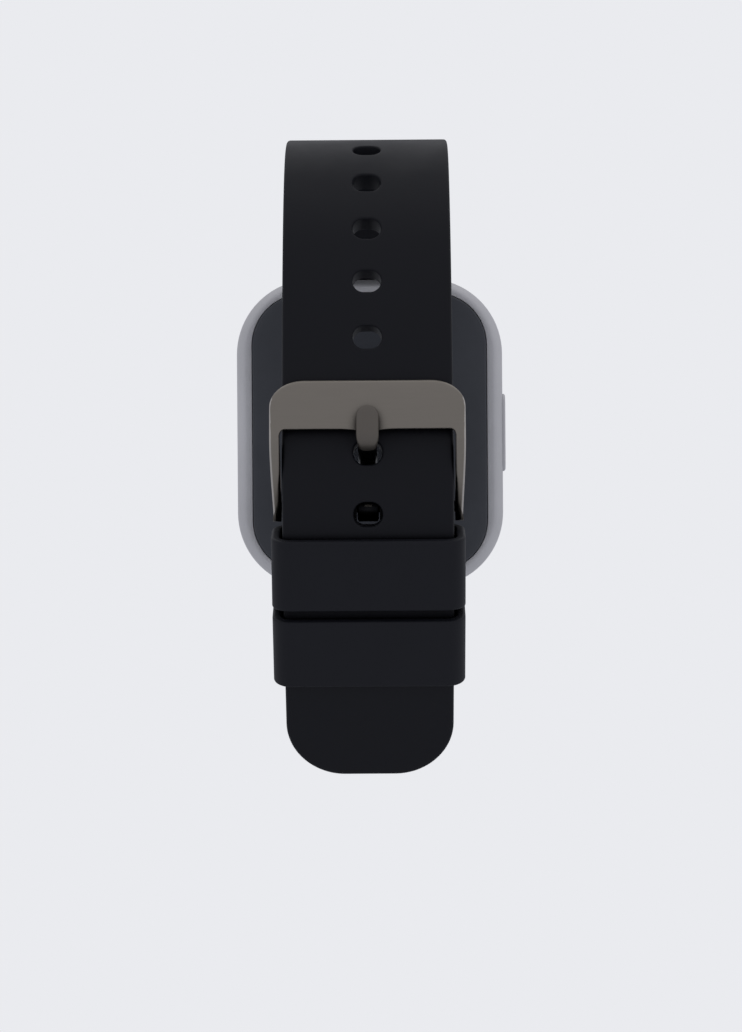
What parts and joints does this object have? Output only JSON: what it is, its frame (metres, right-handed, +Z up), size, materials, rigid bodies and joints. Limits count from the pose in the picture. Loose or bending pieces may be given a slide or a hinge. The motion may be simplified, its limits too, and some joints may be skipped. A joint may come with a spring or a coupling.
{
  "type": "smartwatch",
  "caption": "Rounded-square smartwatch with a metal case and side button, closed on a dark silicone strap with a metal tang buckle and sliding keepers",
  "frame": {"origin": "the middle of the flat sensor window on the case back, where the watch rests on the wrist", "axes": "+Z up along the case towards the holed strap; the display faces -Y; the wrist and the strap loop are on +Y; the side button is on -X"},
  "size_m": [0.0359, 0.0582, 0.0787],
  "materials": {
    "case_metal": "satin bead-blasted",
    "cover": "satin",
    "silicone": "matte silicone",
    "gunmetal": "brushed, dark plated",
    "steel": "plain",
    "glass": "polished, black backed",
    "clear": "polished, tinted",
    "board": "solder mask",
    "black": "moulded",
    "gold": "plated",
    "foil": "foil and sheet",
    "green": "clear resin",
    "gasket": "soft",
    "flex": "film"
  },
  "bodies": {
    "watch": {"case_frame": "case_metal", "back_cover": "cover", "sensor_window": "clear", "holed_strap": "silicone", "buckle_strap": "silicone", "cover_glass": "glass", "display_panel": "black", "display_gasket": "gasket", "back_gasket": "gasket", "chassis": "foil", "battery": "foil", "main_board": "board", "processor": "black", "memory_chip": "black", "power_chip": "black", "radio_shield": "steel", "battery_connector": "black", "vibration_motor": "steel", "display_flex": "flex", "sensor_board": "board", "light_detector": "black", "green_light_upper": "green", "green_light_lower": "green", "charge_contact_left": "gold", "charge_contact_right": "gold", "charge_magnet_left": "steel", "charge_magnet_right": "steel", "antenna_strip": "flex", "button_seal": "gasket", "button_switch": "black", "board_screw_1": "steel", "board_screw_2": "steel", "board_screw_3": "steel", "spring_bar_tube_upper": "steel", "spring_bar_fixed_tip_upper": "steel", "spring_bar_tube_lower": "steel", "spring_bar_fixed_tip_lower": "steel"},
    "button": {"side_button": "case_metal"},
    "buckle": {"buckle_frame": "gunmetal", "buckle_bar": "steel"},
    "tongue": {"buckle_tongue": "gunmetal"},
    "keeper_upper_body": {"keeper_upper": "silicone"},
    "keeper_lower_body": {"keeper_lower": "silicone"},
    "quick_release_upper": {"spring_bar_sliding_tip_upper": "steel"},
    "quick_release_lower": {"spring_bar_sliding_tip_lower": "steel"}
  },
  "joints": [
    {"name": "button_press", "type": "slide", "parent": "watch", "child": "button", "axis": [1, 0, 0], "range_m": [0, 0.0004], "stiffness_N_per_m": 2500, "springref_m": -0.0002},
    {"name": "buckle_swing", "type": "hinge", "parent": "watch", "child": "buckle", "pos_m": [0, 0.03965, -0.01], "axis": [-1, 0, 0], "range_deg": [0, 3.5]},
    {"name": "tongue_swing", "type": "hinge", "parent": "buckle", "child": "tongue", "pos_m": [0, 0.03965, -0.01], "axis": [-1, 0, 0], "range_deg": [0, 2.5]},
    {"name": "keeper_upper_slide", "type": "hinge", "parent": "watch", "child": "keeper_upper_body", "pos_m": [0, -0.0273, 0.00159], "axis": [1, 0, 0], "range_deg": [-0.1, 0.3]},
    {"name": "keeper_lower_slide", "type": "hinge", "parent": "watch", "child": "keeper_lower_body", "pos_m": [0, -0.0273, 0.00159], "axis": [1, 0, 0], "range_deg": [-2.4, 0.1]},
    {"name": "quick_release_upper_slide", "type": "slide", "parent": "watch", "child": "quick_release_upper", "axis": [-1, 0, 0], "range_m": [0, 0.001], "stiffness_N_per_m": 1500, "springref_m": -0.0005},
    {"name": "quick_release_lower_slide", "type": "slide", "parent": "watch", "child": "quick_release_lower", "axis": [-1, 0, 0], "range_m": [0, 0.001], "stiffness_N_per_m": 1500, "springref_m": -0.0005}
  ]
}
